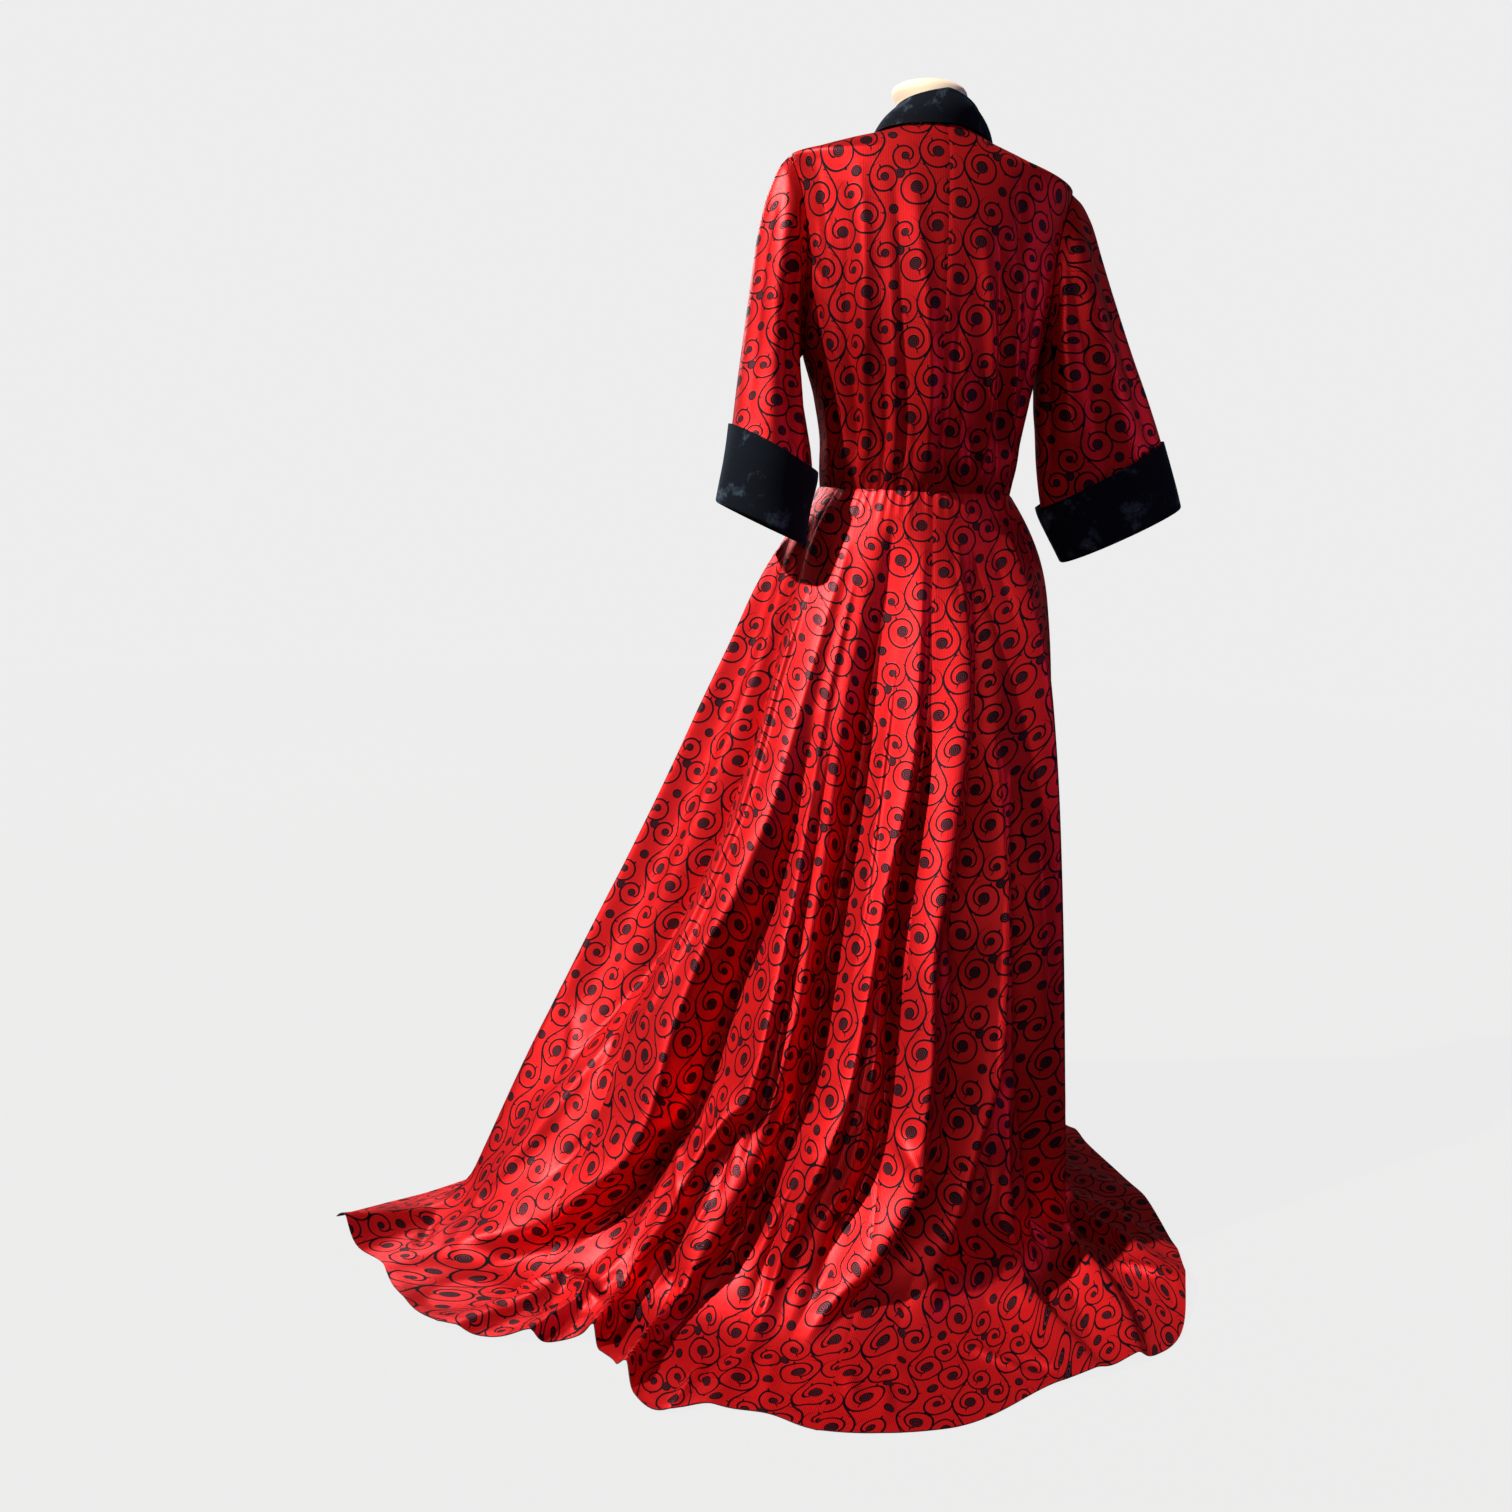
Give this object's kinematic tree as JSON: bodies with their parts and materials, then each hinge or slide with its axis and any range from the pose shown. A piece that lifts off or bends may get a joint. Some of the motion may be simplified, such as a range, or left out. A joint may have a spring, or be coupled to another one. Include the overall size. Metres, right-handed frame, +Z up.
{
  "type": "hostess gown on a dress form",
  "caption": "Full-length gown with a train, three-quarter sleeves, turned-back velvet cuffs and a turned-down velvet collar, worn by a limbless dress form on a round stand.",
  "frame": {"origin": "centre of the stand base's underside, on the floor", "axes": "+Z up; the gown's back faces +Y and its front faces -Y; the wearer's left is +X, the side that the train swings to"},
  "size_m": [1.0527, 0.9279, 1.378],
  "materials": {
    "brocade": "red satin brocade with near-black scrolls",
    "velvet": "blue-black velvet",
    "form_cover": "cream jersey cover",
    "stand_metal": "satin black paint"
  },
  "bodies": {
    "root": {"back_bodice_left": "brocade", "back_bodice_right": "brocade", "front_bodice_left": "brocade", "front_bodice_right": "brocade", "back_skirt_left": "brocade", "back_skirt_right": "brocade", "side_skirt_left": "brocade", "side_skirt_right": "brocade", "front_skirt_left": "brocade", "front_skirt_right": "brocade", "sleeve_left": "brocade", "sleeve_right": "brocade", "velvet_cuff_left": "velvet", "velvet_cuff_right": "velvet", "velvet_collar": "velvet", "front_button_1": "velvet", "front_button_2": "velvet", "front_button_3": "velvet", "front_button_4": "velvet", "front_button_5": "velvet", "dress_form": "form_cover", "stand_pole": "stand_metal", "stand_base": "stand_metal"}
  },
  "joints": []
}
